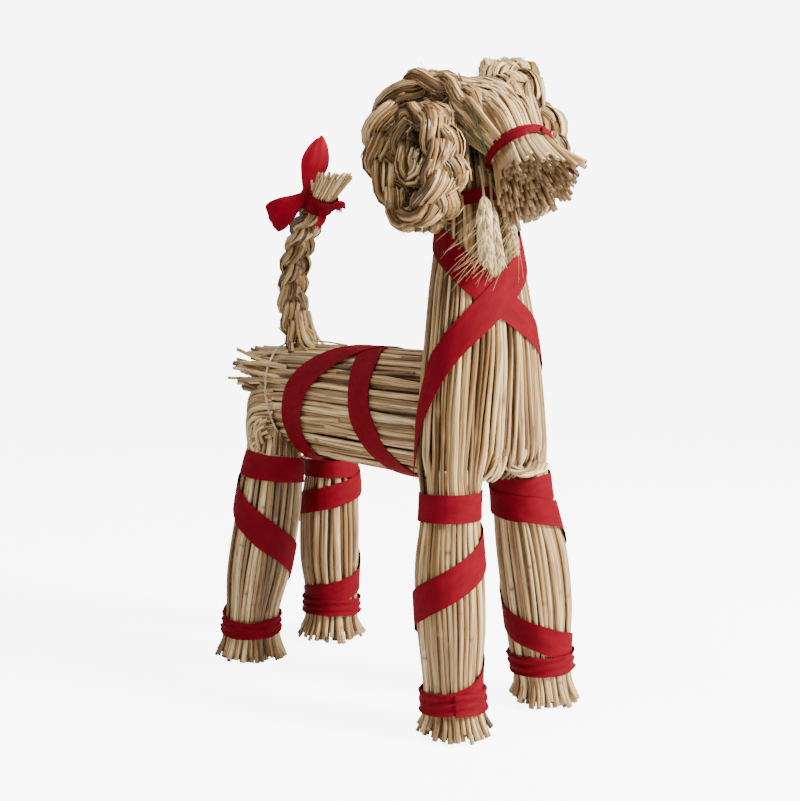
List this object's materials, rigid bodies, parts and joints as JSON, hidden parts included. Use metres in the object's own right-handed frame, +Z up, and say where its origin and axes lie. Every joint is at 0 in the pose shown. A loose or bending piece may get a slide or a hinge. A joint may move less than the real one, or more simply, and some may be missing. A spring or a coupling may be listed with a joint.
{
  "type": "straw goat ornament",
  "caption": "Standing goat figure of bundled straw bound with red ribbon, with coiled plaited horns, a plaited tail tied with a bow, a flared muzzle and ears of wheat.",
  "frame": {"origin": "centre of the outline's bottom, on the floor between the feet", "axes": "+Z up, the goat faces -Y, its right side is -X"},
  "size_m": [0.155, 0.3392, 0.493],
  "materials": {
    "straw": "dry straw stalks, satin",
    "plaited_straw": "flattened plaited straw, satin",
    "ribbon": "matt woven red ribbon",
    "twine": "pale twisted twine",
    "wheat": "dry bearded wheat"
  },
  "bodies": {
    "root": {"chest_bundle": "straw", "trunk_bundle": "straw", "front_leg_right": "straw", "front_leg_left": "straw", "hind_leg_right": "straw", "hind_leg_left": "straw", "head_bundle": "straw", "horn_right": "plaited_straw", "horn_left": "plaited_straw", "tail_plait": "plaited_straw", "ribbon_front_leg_right": "ribbon", "ribbon_front_leg_left": "ribbon", "ribbon_hind_leg_right": "ribbon", "ribbon_hind_leg_left": "ribbon", "ribbon_chest": "ribbon", "ribbon_trunk": "ribbon", "ribbon_muzzle": "ribbon", "ribbon_tail_bow": "ribbon", "twine_rump": "twine", "wheat_ear_1": "wheat", "wheat_ear_2": "wheat", "wheat_ear_3": "wheat"}
  },
  "joints": []
}
